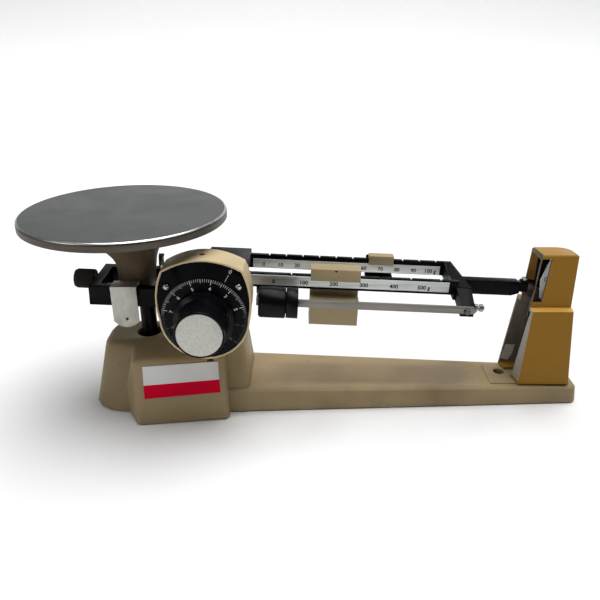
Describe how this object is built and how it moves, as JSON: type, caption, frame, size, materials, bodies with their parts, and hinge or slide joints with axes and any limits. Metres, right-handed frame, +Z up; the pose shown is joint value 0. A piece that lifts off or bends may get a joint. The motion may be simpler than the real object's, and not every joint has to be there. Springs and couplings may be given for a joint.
{
  "type": "triple beam balance",
  "caption": "Laboratory beam balance: round steel plate on a knife-edge beam with sliding poises, a tare poise, a torsion dial and a pointer tower on a long base.",
  "frame": {"origin": "on the table, under the middle of the overall box", "axes": "+X runs along the beams from the plate to the pointer tower, +Z is up, -Y is the side the scales are read from"},
  "size_m": [0.4332, 0.1524, 0.1573],
  "materials": {
    "base_paint": "beige enamel on die casting",
    "dial_housing_paint": "beige enamel on die casting",
    "support_paint": "beige brown enamel",
    "tower_paint": "gold enamel",
    "poise_paint": "tan enamel",
    "black_paint": "satin black enamel",
    "black_plastic": "moulded black plastic",
    "dial_face": "black anodised face",
    "dial_disc": "black disc with white graduations",
    "knob_cap": "spun aluminium disc",
    "steel": "ground steel",
    "chrome_screw": "plated",
    "pan_steel": "brushed stainless steel",
    "aluminium": "rolled aluminium bar",
    "bearing_cover": "worn aluminium sheet",
    "scale_strip": "satin aluminium strip with printed figures",
    "index_white": "white index plate",
    "label": "plain label with a red band",
    "magnet": "sintered magnet",
    "rubber": "moulded rubber"
  },
  "bodies": {
    "base": {"base_casting": "base_paint", "foot_1": "rubber", "foot_2": "rubber", "foot_3": "rubber", "foot_4": "rubber", "label_plate": "label", "fulcrum_stand": "black_paint", "fulcrum_bearing_front": "steel", "fulcrum_bearing_rear": "steel", "dial_housing": "dial_housing_paint", "dial_face_plate": "dial_face", "face_screw_left": "chrome_screw", "face_screw_right": "chrome_screw", "dial_bush": "steel", "dial_bracket": "black_paint", "tower_post": "tower_paint", "tower_cap": "tower_paint", "index_plate": "index_white", "magnet_yoke": "steel", "magnet_front": "magnet", "magnet_rear": "magnet", "check_link_pin": "steel"},
    "dial": {"dial_spindle": "steel", "dial_disc": "dial_disc", "dial_knob": "black_plastic", "dial_knob_cap": "knob_cap"},
    "beam": {"beam_casting": "black_paint", "fulcrum_knife": "steel", "load_knife_front": "steel", "load_knife_rear": "steel", "rear_scale": "scale_strip", "front_scale": "scale_strip", "arm_clip": "chrome_screw", "zero_stud": "steel", "pointer_arm": "black_paint", "pointer": "black_paint", "pointer_screw": "chrome_screw", "damping_vane": "aluminium", "tare_bar": "aluminium", "tare_bar_screw": "steel", "balance_stud": "steel", "balance_nut_inner": "steel", "balance_nut_outer": "steel", "dial_spring": "steel"},
    "zero_knob": {"zero_adjust_knob": "black_plastic"},
    "tare_poise": {"tare_poise": "black_plastic"},
    "tare_ring": {"tare_poise_ring": "black_plastic"},
    "large_poise": {"large_poise": "poise_paint", "large_poise_tooth": "steel"},
    "small_poise": {"small_poise": "poise_paint", "small_poise_tooth": "steel", "small_poise_hanger": "black_paint"},
    "pan": {"pan_plate": "pan_steel", "pan_support": "support_paint", "pan_hanger": "black_paint", "bearing_cover_front": "bearing_cover", "bearing_cover_rear": "bearing_cover", "pan_stem": "black_paint", "stem_pin": "steel"},
    "check_link": {"check_link": "steel"}
  },
  "joints": [
    {"name": "beam_swing", "type": "hinge", "parent": "base", "child": "beam", "pos_m": [-0.0778, 0, 0.091], "axis": [0, 1, 0], "range_deg": [-2, 2]},
    {"name": "pan_hang", "type": "hinge", "parent": "beam", "child": "pan", "pos_m": [-0.1404, 0, 0.09389], "axis": [0, 1, 0], "range_deg": [-2, 2]},
    {"name": "check_link_swing", "type": "hinge", "parent": "base", "child": "check_link", "pos_m": [-0.0678, 0, 0.03011], "axis": [0, 1, 0], "range_deg": [-2, 2]},
    {"name": "dial_turn", "type": "hinge", "parent": "base", "child": "dial", "pos_m": [-0.0778, -0.0495, 0.091], "axis": [0, -1, 0], "range_deg": [-194.3, 101.5]},
    {"name": "large_poise_slide", "type": "slide", "parent": "beam", "child": "large_poise", "axis": [0.9989, 0, -0.0461], "range_m": [-0.04508, 0.06762]},
    {"name": "small_poise_slide", "type": "slide", "parent": "beam", "child": "small_poise", "axis": [0.9989, 0, -0.0461], "range_m": [-0.09331, 0.03999]},
    {"name": "tare_poise_slide", "type": "slide", "parent": "beam", "child": "tare_poise", "axis": [0.9989, 0, -0.0461], "range_m": [0, 0.118]},
    {"name": "tare_ring_turn", "type": "hinge", "parent": "tare_poise", "child": "tare_ring", "pos_m": [-0.0154, -0.038, 0.09844], "axis": [0.9989, 0, -0.0461], "range_deg": [-180, 180]},
    {"name": "zero_knob_turn", "type": "hinge", "parent": "beam", "child": "zero_knob", "pos_m": [-0.1754, 0, 0.102], "axis": [0.9989, 0, -0.0461], "range_deg": [-540, 540]}
  ],
  "couplings": [
    {"joint": "pan_hang", "follows": "beam_swing", "ratio": -1},
    {"joint": "check_link_swing", "follows": "beam_swing", "ratio": 1}
  ]
}
